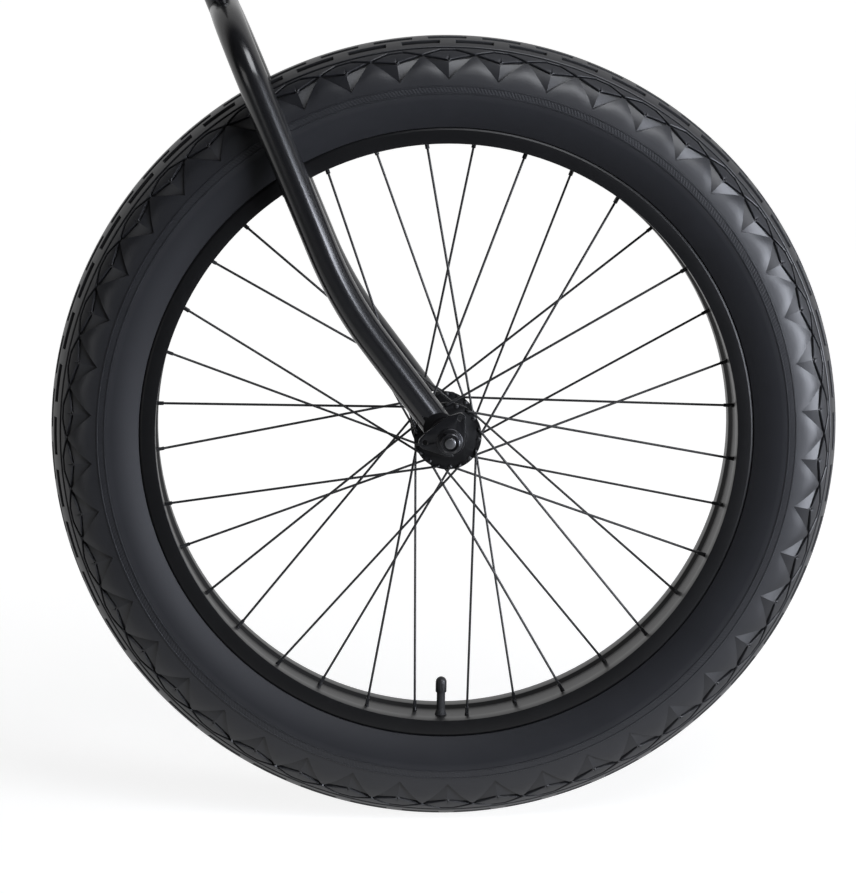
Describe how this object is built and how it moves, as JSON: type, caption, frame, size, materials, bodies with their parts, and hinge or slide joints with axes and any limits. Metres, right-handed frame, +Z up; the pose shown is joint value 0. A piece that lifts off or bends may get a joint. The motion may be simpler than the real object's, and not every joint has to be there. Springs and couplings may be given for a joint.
{
  "type": "fat bicycle front wheel and fork",
  "caption": "Spoked front wheel with a wide knobbly fat tyre, turning on a cup-and-cone hub in a rigid black unicrown bicycle fork.",
  "frame": {"origin": "on the ground below the axle, where the tyre touches, in the wheel plane", "axes": "+X forward, +Y to the rider's left along the axle, +Z up"},
  "size_m": [0.736, 0.172, 0.9625],
  "materials": {
    "fork_paint": "satin black paint",
    "bare_steel": "turned steel",
    "black_steel": "black oxide",
    "hub_alloy": "black anodised",
    "rim_alloy": "black anodised",
    "spoke_steel": "black steel wire",
    "nipple_brass": "blackened brass",
    "tyre_rubber": "moulded black rubber",
    "tube_rubber": "butyl",
    "strip_rubber": "rubber band",
    "valve_rubber": "rubber-covered stem",
    "core_brass": "turned brass",
    "cap_plastic": "ribbed black plastic",
    "dust_cap_steel": "pressed and painted steel"
  },
  "bodies": {
    "fork": {"steerer_tube": "fork_paint", "crown_race": "bare_steel", "fork_blade_right": "fork_paint", "fork_blade_left": "fork_paint", "fork_end_right": "fork_paint", "fork_end_left": "fork_paint", "hub_axle": "bare_steel", "cone_right": "bare_steel", "cone_left": "bare_steel", "cone_spacers": "bare_steel", "cone_locknuts": "bare_steel", "axle_washers": "black_steel", "axle_nuts": "black_steel"},
    "wheel": {"hub_shell": "hub_alloy", "bearing_cup_right": "bare_steel", "bearing_cup_left": "bare_steel", "dust_cap_right": "dust_cap_steel", "dust_cap_left": "dust_cap_steel", "spokes_right_leading": "spoke_steel", "spokes_right_trailing": "spoke_steel", "spokes_left_leading": "spoke_steel", "spokes_left_trailing": "spoke_steel", "spoke_nipples": "nipple_brass", "rim": "rim_alloy", "rim_strip": "strip_rubber", "inner_tube": "tube_rubber", "tyre": "tyre_rubber", "valve_stem": "valve_rubber", "valve_core": "core_brass"},
    "right_ball_ring": {"bearing_balls_right": "bare_steel", "ball_retainer_right": "bare_steel"},
    "left_ball_ring": {"bearing_balls_left": "bare_steel", "ball_retainer_left": "bare_steel"},
    "valve_cap": {"valve_cap": "cap_plastic"},
    "valve_pin": {"valve_pin": "core_brass"}
  },
  "joints": [
    {"name": "wheel_spin", "type": "hinge", "parent": "fork", "child": "wheel", "pos_m": [0, 0, 0.368], "axis": [0, 1, 0], "continuous": true},
    {"name": "right_ball_spin", "type": "hinge", "parent": "fork", "child": "right_ball_ring", "pos_m": [0, 0, 0.368], "axis": [0, 1, 0], "continuous": true},
    {"name": "left_ball_spin", "type": "hinge", "parent": "fork", "child": "left_ball_ring", "pos_m": [0, 0, 0.368], "axis": [0, 1, 0], "continuous": true},
    {"name": "valve_cap_pull", "type": "slide", "parent": "wheel", "child": "valve_cap", "axis": [0.0175, 0, 0.9998], "range_m": [0, 0.025]},
    {"name": "valve_pin_press", "type": "slide", "parent": "wheel", "child": "valve_pin", "axis": [-0.0175, 0, -0.9998], "range_m": [0, 0.0012], "stiffness_N_per_m": 400}
  ],
  "couplings": [
    {"joint": "right_ball_spin", "follows": "wheel_spin", "ratio": 0.584},
    {"joint": "left_ball_spin", "follows": "wheel_spin", "ratio": 0.584}
  ]
}
